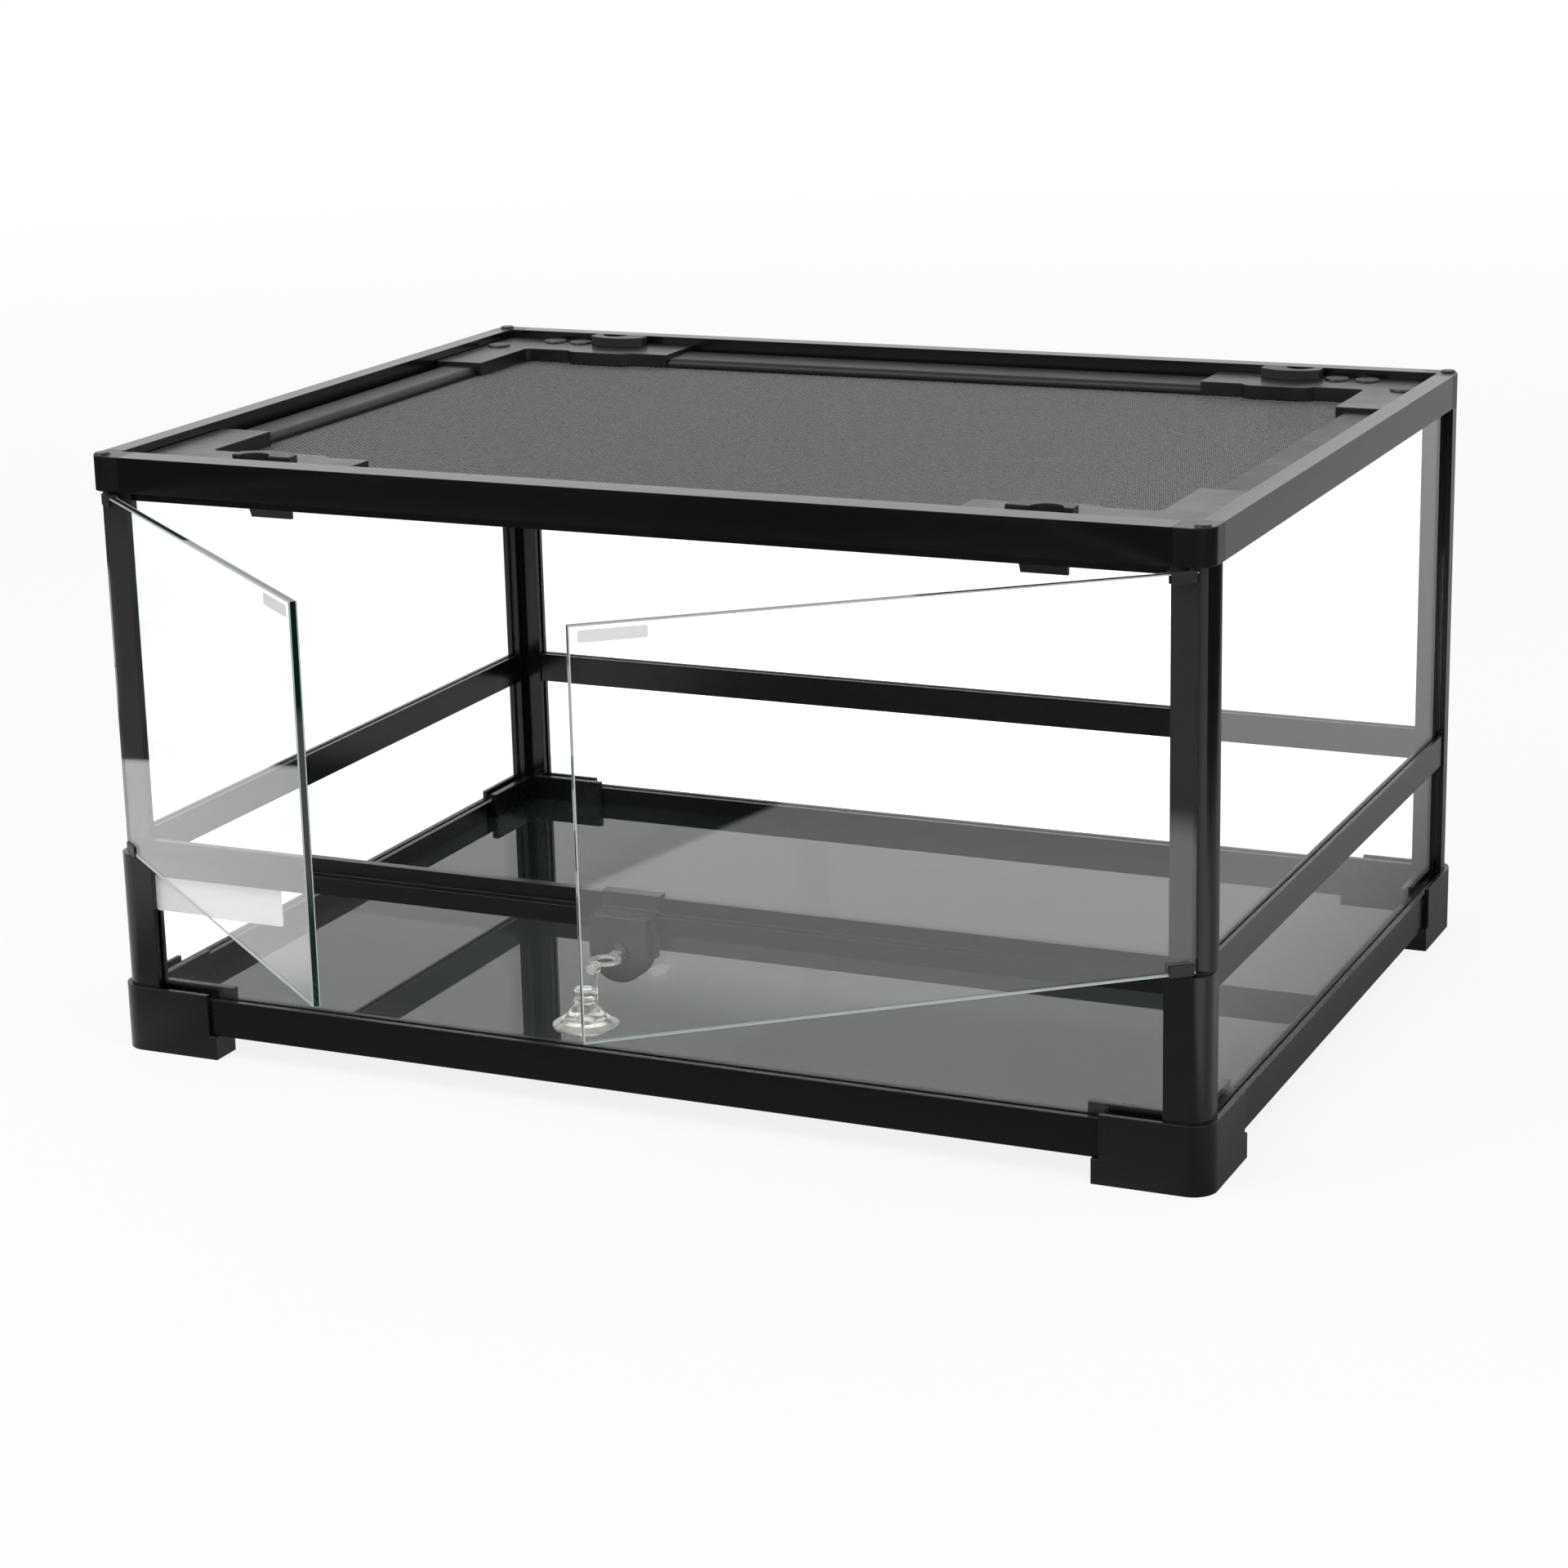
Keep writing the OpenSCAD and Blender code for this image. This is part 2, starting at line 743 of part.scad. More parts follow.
module lock_cylinder() {
    rim = 0.6;
    back = lock_back - 1.4;
    color(steel) at_lock()
        difference() {
            on_key_axis(back) cylinder(h = back - lock_face + rim, r = cylinder_r);
            translate([-3, lock_face - rim - 1, cylinder_z - 0.8])
                cube([6, 12, 1.6]);
        }
}

// The cam behind the cylinder. Its nose, turned up, stands under the raised bolt.
module lock_cam() {
    nose_r = 3;
    nose_clear = 0.75;
    nose = bolt_low + bolt_rise - nose_clear - nose_r - cylinder_z;
    color(steel) at_lock() on_key_axis(lock_back - 0.3)
        linear_extrude(cam_t) {
            circle(4.5);
            translate([0, -nose_r]) square([nose, 2 * nose_r]);
            translate([nose, 0]) circle(nose_r);
        }
}

// The bolt: a plate with cut corners that rises in front of both doors.
module lock_bolt()
    color(steel) at_lock()
        translate([0, lock_back - pocket_t + bolt_t + 0.2, 0]) rotate([90, 0, 0])
            linear_extrude(bolt_t)
                polygon([
                    [-bolt_w / 2, bolt_low], [bolt_w / 2, bolt_low],
                    [bolt_w / 2, lock_top - 2], [bolt_w / 2 - 2, lock_top],
                    [2 - bolt_w / 2, lock_top], [-bolt_w / 2, lock_top - 2]
                ]);

// The key: a flat blade in the cylinder, a bow, and a round stub for the link.
module lock_key() {
    blade_t = 1.4;
    blade_w = 5;
    bow_mid = key_tip + stub_len + bow_r - 1;
    color(steel) at_lock() {
        translate([0, 0, cylinder_z - blade_t / 2])
            linear_extrude(blade_t)
                difference() {
                    union() {
                        translate([0, bow_mid]) circle(bow_r);
                        translate([-blade_w / 2, bow_mid])
                            square([blade_w, lock_face - bow_mid + 9]);
                    }
                    translate([0, bow_mid]) circle(bow_r - 3.2);
                }
        translate([0, key_tip + stub_len, cylinder_z]) rotate([90, 0, 0])
            cylinder(h = stub_len, r = stub_r);
        translate([0, key_tip + 2, cylinder_z]) rotate([90, 0, 0])
            cylinder(h = 2, r = 2.6);
    }
}

// A ring of wire link_wire around the axis Z.
module wire_ring(r)
    rotate_extrude() translate([r, 0]) circle(link_wire, $fn = 16);

// Link: a ring on the stub of the key, a strand, and a ring round the cup's neck.
module key_link()
    color(clear_plastic) at_lock() translate([0, link_y, 0]) {
        translate([0, 0, cylinder_z]) rotate([90, 0, 0]) wire_ring(key_ring_r);
        translate([0, 0, cup_z + cup_neck_z])
            cylinder(h = cylinder_z - key_ring_r - cup_z - cup_neck_z, r = strand_r);
        translate([-cup_offset, 0, cup_z + cup_neck_z]) wire_ring(cup_ring_r);
    }

// A clear suction cup hanging mouth down from the link.
module suction_cup() {
    r = cup_d / 2;
    color(clear_plastic) at_lock()
        translate([-cup_offset, link_y, cup_z])
            rotate_extrude()
                polygon([
                    [0, 5], [0.55 * r, 3], [r, 0], [r, 1.2], [0.8 * r, 3.2],
                    [0.58 * r, 6], [0.44 * r, cup_neck_z - 4.4], [head_r, cup_neck_z - 2.2],
                    [neck_r, cup_neck_z - 1.1], [neck_r, cup_neck_z + 1.1],
                    [head_r, cup_neck_z + 1.9], [head_r, cup_h - 1],
                    [head_r - 1, cup_h], [0, cup_h]
                ]);
}

// ------------------------------------------------------------------- draw

foot(-1, -1);  // foot_front_left
foot(1, -1);  // foot_front_right
foot(-1, 1);  // foot_back_left
foot(1, 1);  // foot_back_right
base_rail_x(-1);  // base_rail_front
base_rail_x(1);  // base_rail_back
base_rail_y(-1);  // base_rail_left
base_rail_y(1);  // base_rail_right
base_corner_blocks();
floor_pane();
front_post(-1);  // post_front_left
front_post(1);  // post_front_right
back_post(-1);  // post_back_left
back_post(1);  // post_back_right
door_sill();
mid_rail_y(-1);  // mid_rail_left
mid_rail_y(1);  // mid_rail_right
mid_rail_back();
top_rail_front();
top_rail_back();
top_rail_y(-1);  // top_rail_left
top_rail_y(1);  // top_rail_right
top_corner(-1, -1);  // top_corner_front_left
top_corner(1, -1);  // top_corner_front_right
top_corner(-1, 1);  // top_corner_back_left
top_corner(1, 1);  // top_corner_back_right
pane_x(-1, lower_z0, lower_z1);  // front_window
pane_y(-1, lower_z0, lower_z1);  // left_pane_lower
pane_y(-1, upper_z0, upper_z1);  // left_pane_upper
pane_y(1, lower_z0, lower_z1);  // right_pane_lower
pane_y(1, upper_z0, upper_z1);  // right_pane_upper
pane_x(1, lower_z0, lower_z1);  // back_pane_lower
pane_x(1, upper_z0, upper_z1);  // back_pane_upper
door_glass(-1, left_open);  // door_left_glass
door_pivots(-1, left_open);  // door_left_pivots
door_glass(1, right_open);  // door_right_glass
door_pivots(1, right_open);  // door_right_pivots
lid_rail_x(-1);  // lid_rail_front
lid_rail_x(1);  // lid_rail_back
lid_rail_y(-1);  // lid_rail_left
lid_rail_y(1);  // lid_rail_right
lid_plate(-1, -1);  // lid_plate_front_left
lid_plate(1, -1);  // lid_plate_front_right
lid_plate(-1, 1);  // lid_plate_back_left
lid_plate(1, 1);  // lid_plate_back_right
lid_mesh();
cable_port_plugs();
latch(-1, -1);  // latch_front_left
latch(1, -1);  // latch_front_right
latch(-1, 1);  // latch_back_left
latch(1, 1);  // latch_back_right
lock_body();
lock_cylinder();
lock_cam();
lock_bolt();
lock_key();
key_link();
suction_cup();
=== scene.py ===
"""A reptile terrarium: a glass tank with two hinged doors, a woven lid and a sill lock.

Lengths are in metres. Seen from the doors, +X is right, +Y is back and +Z is up.
"""
import math

import bmesh
import bpy
from mathutils import Matrix, Vector


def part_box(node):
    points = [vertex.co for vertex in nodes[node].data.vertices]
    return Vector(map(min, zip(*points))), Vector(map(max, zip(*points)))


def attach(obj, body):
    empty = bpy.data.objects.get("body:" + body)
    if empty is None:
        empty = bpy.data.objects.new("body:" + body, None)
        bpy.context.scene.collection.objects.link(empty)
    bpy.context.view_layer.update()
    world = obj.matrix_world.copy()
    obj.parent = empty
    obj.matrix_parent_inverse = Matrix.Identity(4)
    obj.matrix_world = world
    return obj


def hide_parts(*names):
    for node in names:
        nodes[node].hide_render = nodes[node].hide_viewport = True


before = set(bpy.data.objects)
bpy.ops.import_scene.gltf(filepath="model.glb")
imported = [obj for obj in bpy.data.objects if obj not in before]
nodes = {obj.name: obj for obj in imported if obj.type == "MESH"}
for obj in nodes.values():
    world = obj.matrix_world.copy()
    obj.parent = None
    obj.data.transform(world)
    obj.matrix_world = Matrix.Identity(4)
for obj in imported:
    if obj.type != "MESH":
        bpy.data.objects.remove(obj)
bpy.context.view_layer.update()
scene = bpy.context.scene
scene.view_settings.view_transform = "Standard"

CORNERS = ("front_left", "front_right", "back_left", "back_right")
SIDES = ("front", "back", "left", "right")
NO_STRETCH = (1, 1, 1)

# The plane of the tank's front, the top of the door sill, and the pins and opening
# angles of the doors
FRONT_Y = -0.2285
SILL_TOP = 0.1175
PIVOT_X = 0.295
PIVOT_Y = FRONT_Y + 0.0023
LEFT_OPEN = math.radians(39.5)
RIGHT_OPEN = math.radians(40)

# The lid's wire: distance between wires, their radius, how far they go over and under
# each other, the gap to the edge of the opening, and the pieces each set is cut into
MESH_PITCH = 0.0017
WIRE_RADIUS = 0.00022
WIRE_CRIMP = 0.0002
MESH_MARGIN = 0.0006
TILES = 3
SWAP_X_Y = Matrix(((0, 1, 0, 0), (1, 0, 0, 0), (0, 0, 1, 0), (0, 0, 0, 1)))

# The line ground on the doors' edges: its width, how far it stands proud of the glass,
# and how much of the sharp edge it takes off
SEAM_WIDE = 0.0006
SEAM_PROUD = 0.00003
SEAM_CUT = 0.00015

# The blank films: thickness, corner radius, the size of those on the doors with their
# distance from the free edge and the top, and the X and Z range of the window's
FILM_THICK = 0.00012
FILM_CORNER = 0.0012
LABEL_LONG, LABEL_TALL = 0.032, 0.0058
LABEL_ASIDE, LABEL_BELOW = 0.004, 0.0022
WINDOW_LABEL_X = (-0.283, -0.201)
WINDOW_LABEL_Z = (0.079, 0.100)

# Plastic: strength and depth of the grain's relief, and the radius that edges are
# softened by
GRAIN_STRENGTH = 0.35
GRAIN_DEPTH = 0.00006
SOFT_EDGE = 0.0005

# Extruded black: darkest and lightest colour, range of roughness, fineness of the
# grain, and how far the grain is drawn out along the die lines
EXTRUDED_COLOURS = (0.0035, 0.0032, 0.0034), (0.0065, 0.006, 0.0062)
EXTRUDED_GLOSS = (0.14, 0.26)
EXTRUDED_GRAIN = 900.0
DIE_LINE_STRETCH = 0.02

# The strip on the front posts: its colours, lighter than the black as a painted sheen that
# stands for the door glass's haze over the post, how much rougher it is, and how straight a
# face has to look forward to have it
PAINTED_SHEEN_COLOURS = (0.024, 0.019, 0.0205), (0.030, 0.024, 0.0255)
SATIN_ROUGHER = 0.26
SHEEN_STRIP_FACING = 0.8

# Glass: colour of its faces and of its polished edges, how clear the edges are, and
# where the turn of the surface makes a face into an edge
FACE_GLASS = (0.975, 0.99, 0.985)
EDGE_GREEN = (0.005, 0.020, 0.016)
EDGE_CLEAR = 0.35
EDGE_TURN = 0.5

# The part of each noise's range that drives roughness
SMEAR_RANGE = (0.3, 0.75)
GRAIN_RANGE = (0.3, 0.7)
WIPE_RANGE = (0.35, 0.8)

# The floor: half its side, the share of its own light where it is seen near the tank,
# and the distances over which that share grows to the whole
FLOOR_HALF = 12.0
FLOOR_SEEN = 0.86
FLOOR_FADE = (1.5, 4.0)
# What the floor and the sky gain when seen through one pane and through two, and the
# number of glass surfaces in each
GLASS_LIFT = (0.35, 1.2)
PANE_DEPTHS = (2.0, 4.0)
# The floor in reflections is a painted reflection: a glowing sheet that starts at
# SHEET_FRONT, with the brightness at each X in front of the tank and beside it, and the Y
# range where one becomes the other
SHEET_FRONT = -0.775
SHEET_BLUR = 0.006
SHEET_GAIN = 1.2
SHEET_DARKEST = 0.03
# The low levels next to the tank in both tables are painted shade: the tank's shadow on the
# floor, as mirrored surfaces show it
SHEET_AHEAD = (
    (-0.86, 0.0), (-0.85, 0.85), (-0.46, 0.85), (-0.40, 0.2), (0.38, 0.2), (0.46, 1.0),
    (0.82, 1.0), (0.88, 0.0),
)
SHEET_BESIDE = (
    (-0.86, 0.0), (-0.85, 0.85), (-0.31, 0.85), (-0.29, 0.4), (0.28, 0.4), (0.305, 0.17),
    (0.405, 0.37), (0.735, 0.52), (0.93, 0.52), (1.0, 0.0),
)
PAST_FRONT = (-0.34, -0.22)

# The sky's strength as a lamp, and the two soft lamps
SKY_LIGHT = 0.62
LAMP_AIM = (0, 0, 0.15)
LAMP_SIDE = 1.2
KEY_PLACE, KEY_POWER = (-0.9, -1.3, 1.9), 16
FILL_PLACE, FILL_POWER = (1.6, -0.8, 1.4), 8

# The camera: its turn in radians, its place, and its focal length in pixels of a
# picture PICTURE_WIDE pixels wide
YAW, PITCH, ROLL = 0.4269, 0.2737, -0.0234
EYE = Vector((0.80675, -1.8067, 0.6717))
FOCAL_PIXELS = 4528.0
PICTURE_WIDE = 1920
SENSOR_WIDE = 36
CLIP_END = 50


# ------------------------------------------------------------------ node helpers


class Nodes:
    """Short ways to add, fill and link the nodes of a tree."""

    def __init__(self, tree):
        self.tree = tree
        self.tree.nodes.clear()

    def add(self, kind, **settings):
        node = self.tree.nodes.new(kind)
        for key, value in settings.items():
            setattr(node, key, value)
        return node

    def link(self, source, target):
        self.tree.links.new(source, target)

    def fill(self, socket, value):
        """Links value to the socket, or writes it there if it is a constant."""
        if isinstance(value, bpy.types.NodeSocket):
            self.link(value, socket)
        else:
            socket.default_value = value

    def math(self, operation, *values):
        node = self.add("ShaderNodeMath", operation=operation)
        for socket, value in zip(node.inputs, values):
            self.fill(socket, value)
        return node.outputs[0]

    def less_from_one(self, value):
        return self.math("SUBTRACT", 1.0, value)

    def ramp(self, value, low, high, out_low, out_high):
        """Maps value from low..high to out_low..out_high, clamped."""
        node = self.add("ShaderNodeMapRange")
        for socket, number in zip(
            ("From Min", "From Max", "To Min", "To Max"), (low, high, out_low, out_high)
        ):
            node.inputs[socket].default_value = number
        self.link(value, node.inputs["Value"])
        return node.outputs["Result"]


class Finish(Nodes):
    """A new material with a Principled shader."""

    def __init__(self, name):
        self.material = bpy.data.materials.new(name)
        self.material.use_nodes = True
        super().__init__(self.material.node_tree)
        self.output = self.add("ShaderNodeOutputMaterial")
        self.shader = self.add("ShaderNodeBsdfPrincipled")
        self.link(self.shader.outputs[0], self.output.inputs["Surface"])

    def set(self, **sockets):
        """Constants for the shader's sockets."""
        for key, value in sockets.items():
            self.shader.inputs[key.replace("_", " ")].default_value = value

    def drive(self, socket, value):
        """Links value to one of the shader's sockets."""
        self.link(value, self.shader.inputs[socket])

    def place(self, scale=NO_STRETCH):
        """Object coordinates, stretched by scale."""
        coords = self.add("ShaderNodeTexCoord")
        mapping = self.add("ShaderNodeMapping")
        mapping.inputs["Scale"].default_value = scale
        self.link(coords.outputs["Object"], mapping.inputs["Vector"])
        return mapping.outputs["Vector"]

    def facing(self, direction):
        """How far the surface faces a direction, from -1 to 1."""
        coords = self.add("ShaderNodeTexCoord")
        turn = self.add("ShaderNodeVectorMath", operation="DOT_PRODUCT")
        turn.inputs[1].default_value = direction
        self.link(coords.outputs["Normal"], turn.inputs[0])
        return turn.outputs["Value"]

    def noise(self, scale, detail=2.0, stretch=NO_STRETCH, roughness=0.5):
        noise = self.add("ShaderNodeTexNoise")
        noise.inputs["Scale"].default_value = scale
        noise.inputs["Detail"].default_value = detail
        noise.inputs["Roughness"].default_value = roughness
        self.link(self.place(stretch), noise.inputs["Vector"])
        return noise.outputs["Fac"]

    def cloud(self, stretch=NO_STRETCH):
        """The slow change of colour over a black part."""
        return self.noise(14.0, 4.0, stretch)

    def smear(self, gloss, stretch=NO_STRETCH):
        """Roughness that wanders between the two values of gloss."""
        return self.ramp(self.noise(38.0, 6.0, stretch, 0.65), *SMEAR_RANGE, *gloss)

    def tint(self, factor, colour_a, colour_b):
        """A mix of two colours, each a constant or a socket."""
        node = self.add("ShaderNodeMix", data_type="RGBA")
        self.link(factor, node.inputs[0])
        for socket, colour in zip(node.inputs[6:8], (colour_a, colour_b)):
            constant = isinstance(colour, tuple)
            self.fill(socket, (*colour, 1) if constant else colour)
        return node.outputs[2]

    def relief(self, height, strength, distance, edge=0.0):
        """Bump from height, over edges softened by edge metres."""
        bump = self.add("ShaderNodeBump")
        bump.inputs["Strength"].default_value = strength
        bump.inputs["Distance"].default_value = distance
        self.link(height, bump.inputs["Height"])
        if edge:
            soft = self.add("ShaderNodeBevel", samples=4)
            soft.inputs["Radius"].default_value = edge
            self.link(soft.outputs["Normal"], bump.inputs["Normal"])
        self.drive("Normal", bump.outputs["Normal"])

    def cover(self, factor, over):
        """Mixes the shader over to another one by factor."""
        mix = self.add("ShaderNodeMixShader")
        self.link(factor, mix.inputs[0])
        self.link(self.shader.outputs[0], mix.inputs[1])
        self.link(over.outputs[0], mix.inputs[2])
        self.link(mix.outputs[0], self.output.inputs["Surface"])


# ------------------------------------------------------------------ materials


def plastic(
    name, dark, light, gloss, grain, edge=SOFT_EDGE, stretch=NO_STRETCH,
    depth=GRAIN_DEPTH, shine=0.5,
):
    """A black plastic: colour and gloss vary slightly, and a fine grain shows."""
    finish = Finish(name)
    finish.drive("Base Color", finish.tint(finish.cloud(stretch), dark, light))
    finish.drive("Roughness", finish.smear(gloss, stretch))
    finish.relief(finish.noise(grain, 2.0, stretch), GRAIN_STRENGTH, depth, edge)
    finish.set(IOR=1.5, Specular_IOR_Level=shine)
    return finish.material


def extruded_black(name, axis, shine):
    """Extruded black whose faint die lines run along the axis."""
    along = tuple(DIE_LINE_STRETCH if letter == axis else 1.0 for letter in "xyz")
    return plastic(
        name + axis, *EXTRUDED_COLOURS, EXTRUDED_GLOSS, EXTRUDED_GRAIN,
        stretch=along, depth=0.00005, shine=shine,
    )


def hinge_post_black():
    """Extruded black, with a rougher strip on the face behind the doors, lighter by a
    painted sheen that stands for the door glass's haze.
    """
    finish = Finish("hinge_post_black")
    cloud = finish.cloud()
    place = finish.add("ShaderNodeSeparateXYZ")
    finish.link(finish.place(), place.inputs[0])
    strip = finish.math(
        "MULTIPLY",
        finish.math("GREATER_THAN", finish.facing((0, -1, 0)), SHEEN_STRIP_FACING),
        finish.math("GREATER_THAN", place.outputs["Z"], SILL_TOP),
    )
    black = finish.tint(cloud, *EXTRUDED_COLOURS)
    # The strip's lighter colour is painted sheen: the door glass's haze over the post,
    # painted onto its face
    painted_sheen = finish.tint(cloud, *PAINTED_SHEEN_COLOURS)
    finish.drive("Base Color", finish.tint(strip, black, painted_sheen))
    rougher = finish.math("MULTIPLY", strip, SATIN_ROUGHER)
    finish.drive("Roughness", finish.math("ADD", finish.smear(EXTRUDED_GLOSS), rougher))
    finish.relief(finish.noise(EXTRUDED_GRAIN), GRAIN_STRENGTH, GRAIN_DEPTH, SOFT_EDGE)
    finish.set(IOR=1.5)
    return finish.material


def let_lamps_through(finish, tint):
    """Lamps shine through the glass, tinted."""
    clear = finish.add("ShaderNodeBsdfTransparent")
    clear.inputs["Color"].default_value = (*tint, 1)
    path = finish.add("ShaderNodeLightPath")
    finish.cover(path.outputs["Is Shadow Ray"], clear)


def pane_glass(name, face, index=1.5):
    """Clear float glass whose polished edges, away from the axis face, are green."""
    finish = Finish(name)
    across = finish.math("ABSOLUTE", finish.facing(face))
    on_face = finish.math("GREATER_THAN", across, EDGE_TURN)
    finish.drive("Base Color", finish.tint(on_face, EDGE_GREEN, FACE_GLASS))
    finish.drive("Transmission Weight", finish.ramp(on_face, 0, 1, EDGE_CLEAR, 1.0))
    wipe = finish.noise(9.0, 5.0, roughness=0.6)
    finish.drive("Roughness", finish.ramp(wipe, *WIPE_RANGE, 0.0, 0.012))
    finish.set(IOR=index)
    let_lamps_through(finish, (0.94, 0.97, 0.96))
    return finish.material


def bottom_glass():
    """The dark glass of the tank's bottom, with a little dust."""
    finish = Finish("bottom_glass")
    dust = finish.noise(7.0, 6.0, roughness=0.6)
    finish.drive(
        "Base Color", finish.tint(dust, (0.010, 0.0165, 0.0185), (0.017, 0.0255, 0.028))
    )
    finish.drive("Roughness", finish.ramp(dust, *WIPE_RANGE, 0.0, 0.02))
    finish.set(IOR=1.52)
    return finish.material


def speckled(name, grain, dark, light, gloss, **sockets):
    """A finish whose colour and roughness both follow the grain."""
    finish = Finish(name)
    height = finish.noise(*grain)
    finish.drive("Base Color", finish.tint(height, dark, light))
    finish.drive("Roughness", finish.ramp(height, *GRAIN_RANGE, *gloss))
    finish.set(**sockets)
    return finish, height


def plated(name, dark, light, gloss, brush, metallic=1.0):
    """Plated metal with a fine brushed grain along one way."""
    finish, grain = speckled(
        name, (900.0, 3.0, brush), dark, light, gloss, Metallic=metallic
    )
    finish.relief(grain, 0.15, 0.00003, 0.0003)
    return finish.material


def steel_wire():
    finish, _ = speckled(
        "dark_steel_wire", (260.0, 3.0), (0.13, 0.128, 0.13), (0.21, 0.207, 0.209),
        (0.24, 0.38), Metallic=0.55,
    )
    finish.relief(finish.noise(2600.0), 0.2, 0.00003)
    return finish.material


def soft_vinyl():
    finish, swirl = speckled(
        "clear_vinyl", (70.0, 3.0), (0.93, 0.935, 0.87), (0.97, 0.972, 0.93),
        (0.03, 0.12), IOR=1.49, Transmission_Weight=0.94,
    )
    finish.relief(swirl, 0.2, 0.0004)
    let_lamps_through(finish, (0.82, 0.82, 0.76))
    return finish.material


def ground_glass():
    finish, scuff = speckled(
        "ground_glass_edge", (900.0, 3.0), (0.44, 0.50, 0.49), (0.66, 0.72, 0.70),
        (0.3, 0.5),
    )
    finish.relief(scuff, 0.2, 0.00003)
    return finish.material


def blank_film():
    finish, paper = speckled(
        "label_film", (420.0, 4.0), (0.80, 0.80, 0.79), (0.88, 0.88, 0.87),
        (0.35, 0.5), Alpha=0.86,
    )
    finish.relief(paper, 0.1, 0.00004)
    return finish.material


def dress(material, *names):
    """Gives the named CAD nodes a material."""
    for name in names:
        if not nodes[name].material_slots:
            nodes[name].data.materials.append(material)
        for slot in nodes[name].material_slots:
            slot.material = material


def named(start, ends):
    return [start + end for end in ends]


black_along = {axis: extruded_black("extruded_black_", axis, 0.42) for axis in "xyz"}
base_black_along = {axis: extruded_black("base_black_", axis, 0.2) for axis in "xy"}
moulded_black = plastic(
    "moulded_black", (0.004, 0.0037, 0.0039), (0.008, 0.0074, 0.0076), (0.22, 0.34),
    1500, edge=0.0009, depth=0.00004, shine=0.34,
)
lid_black = plastic(
    "lid_black", (0.007, 0.0066, 0.0068), (0.012, 0.0113, 0.0115), (0.24, 0.36), 1300,
    edge=0.0008,
)
lid_rail_black = plastic(
    "lid_rail_black", (0.0075, 0.0069, 0.007), (0.0125, 0.0115, 0.0117), (0.3, 0.42),
    1300, edge=0.0008, shine=0.24,
)
latch_black = plastic(
    "latch_black", (0.007, 0.0067, 0.0069), (0.012, 0.0115, 0.0115), (0.34, 0.46), 1800,
    edge=0.0008,
)
pivot_black = plastic(
    "pivot_black", (0.006, 0.006, 0.006), (0.012, 0.012, 0.012), (0.4, 0.5), 1800
)
lock_black = plastic(
    "lock_black", (0.008, 0.0076, 0.008), (0.017, 0.0164, 0.017), (0.3, 0.44), 2200,
    edge=0.0009, depth=0.0001,
)
nickel_plate = plated(
    "nickel_plate", (0.74, 0.72, 0.67), (0.9, 0.88, 0.84), (0.14, 0.28), (1, 0.15, 1),
    metallic=0.65,
)
cylinder_steel = plated(
    "cylinder_steel", (0.05, 0.049, 0.05), (0.11, 0.108, 0.106), (0.2, 0.34),
    (1, 0.2, 1),
)
front_back_glass = pane_glass("front_back_glass", (0, 1, 0))
side_glass = pane_glass("side_glass", (1, 0, 0))
left_door_glass = pane_glass(
    "left_door_glass", (math.sin(LEFT_OPEN), math.cos(LEFT_OPEN), 0)
)
right_door_glass = pane_glass(
    "right_door_glass", (-math.sin(RIGHT_OPEN), math.cos(RIGHT_OPEN), 0), 1.55
)
wire_black = steel_wire()
ground_edge = ground_glass()
label_film = blank_film()

dress(moulded_black, *named("foot_", CORNERS), *named("top_corner_", CORNERS))
dress(moulded_black, "base_corner_blocks")
for axis, sides in (("x", ("front", "back")), ("y", ("left", "right"))):
    dress(base_black_along[axis], *named("base_rail_", sides))
    dress(black_along[axis], *named("top_rail_", sides))
dress(black_along["x"], "door_sill", "mid_rail_back")
dress(black_along["y"], "mid_rail_left", "mid_rail_right")
dress(black_along["z"], "post_back_left", "post_back_right")
dress(hinge_post_black(), "post_front_left", "post_front_right")
dress(bottom_glass(), "floor_pane")
dress(front_back_glass, "front_window", "back_pane_lower", "back_pane_upper")
dress(side_glass, *named("left_pane_", ("lower", "upper")))
dress(side_glass, *named("right_pane_", ("lower", "upper")))
dress(left_door_glass, "door_left_glass")
dress(right_door_glass, "door_right_glass")
dress(pivot_black, "door_left_pivots", "door_right_pivots")
dress(lid_rail_black, *named("lid_rail_", SIDES))
dress(lid_black, *named("lid_plate_", CORNERS))
dress(latch_black, *named("latch_", CORNERS), "cable_port_plugs")
dress(lock_black, "lock_body")
dress(cylinder_steel, "lock_cylinder", "lock_cam", "lock_bolt")
dress(nickel_plate, "lock_key")
dress(soft_vinyl(), "key_link", "suction_cup")


# ------------------------------------------------------------------ pieces


def new_piece(name, mesh, material, body):
    """A visible piece that rides a body. Without a material it keeps the mesh's own."""
    piece = bpy.data.objects.new(name, mesh)
    scene.collection.objects.link(piece)
    if material:
        mesh.materials.clear()
        mesh.materials.append(material)
    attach(piece, body)
    return piece


def form_piece(name, form, place, material, body):
    """A piece from a bmesh, moved to its place."""
    form.transform(place)
    mesh = bpy.data.meshes.new(name)
    form.to_mesh(mesh)
    form.free()
    return new_piece(name, mesh, material, body)


class Growth(Nodes):
    """A Geometry Nodes tree."""

    def __init__(self, tree):
        super().__init__(tree)
        self.group_in = self.add("NodeGroupInput")
        self.group_out = self.add("NodeGroupOutput")

    def size(self, name):
        """One of the tree's named inputs."""
        return self.group_in.outputs[name]

    def put(self, kind, settings=None, **inputs):
        """The first output of a new node with these inputs."""
        node = self.add(kind, **(settings or {}))
        for key, value in inputs.items():
            self.fill(node.inputs[key.replace("_", " ")], value)
        return node.outputs[0]


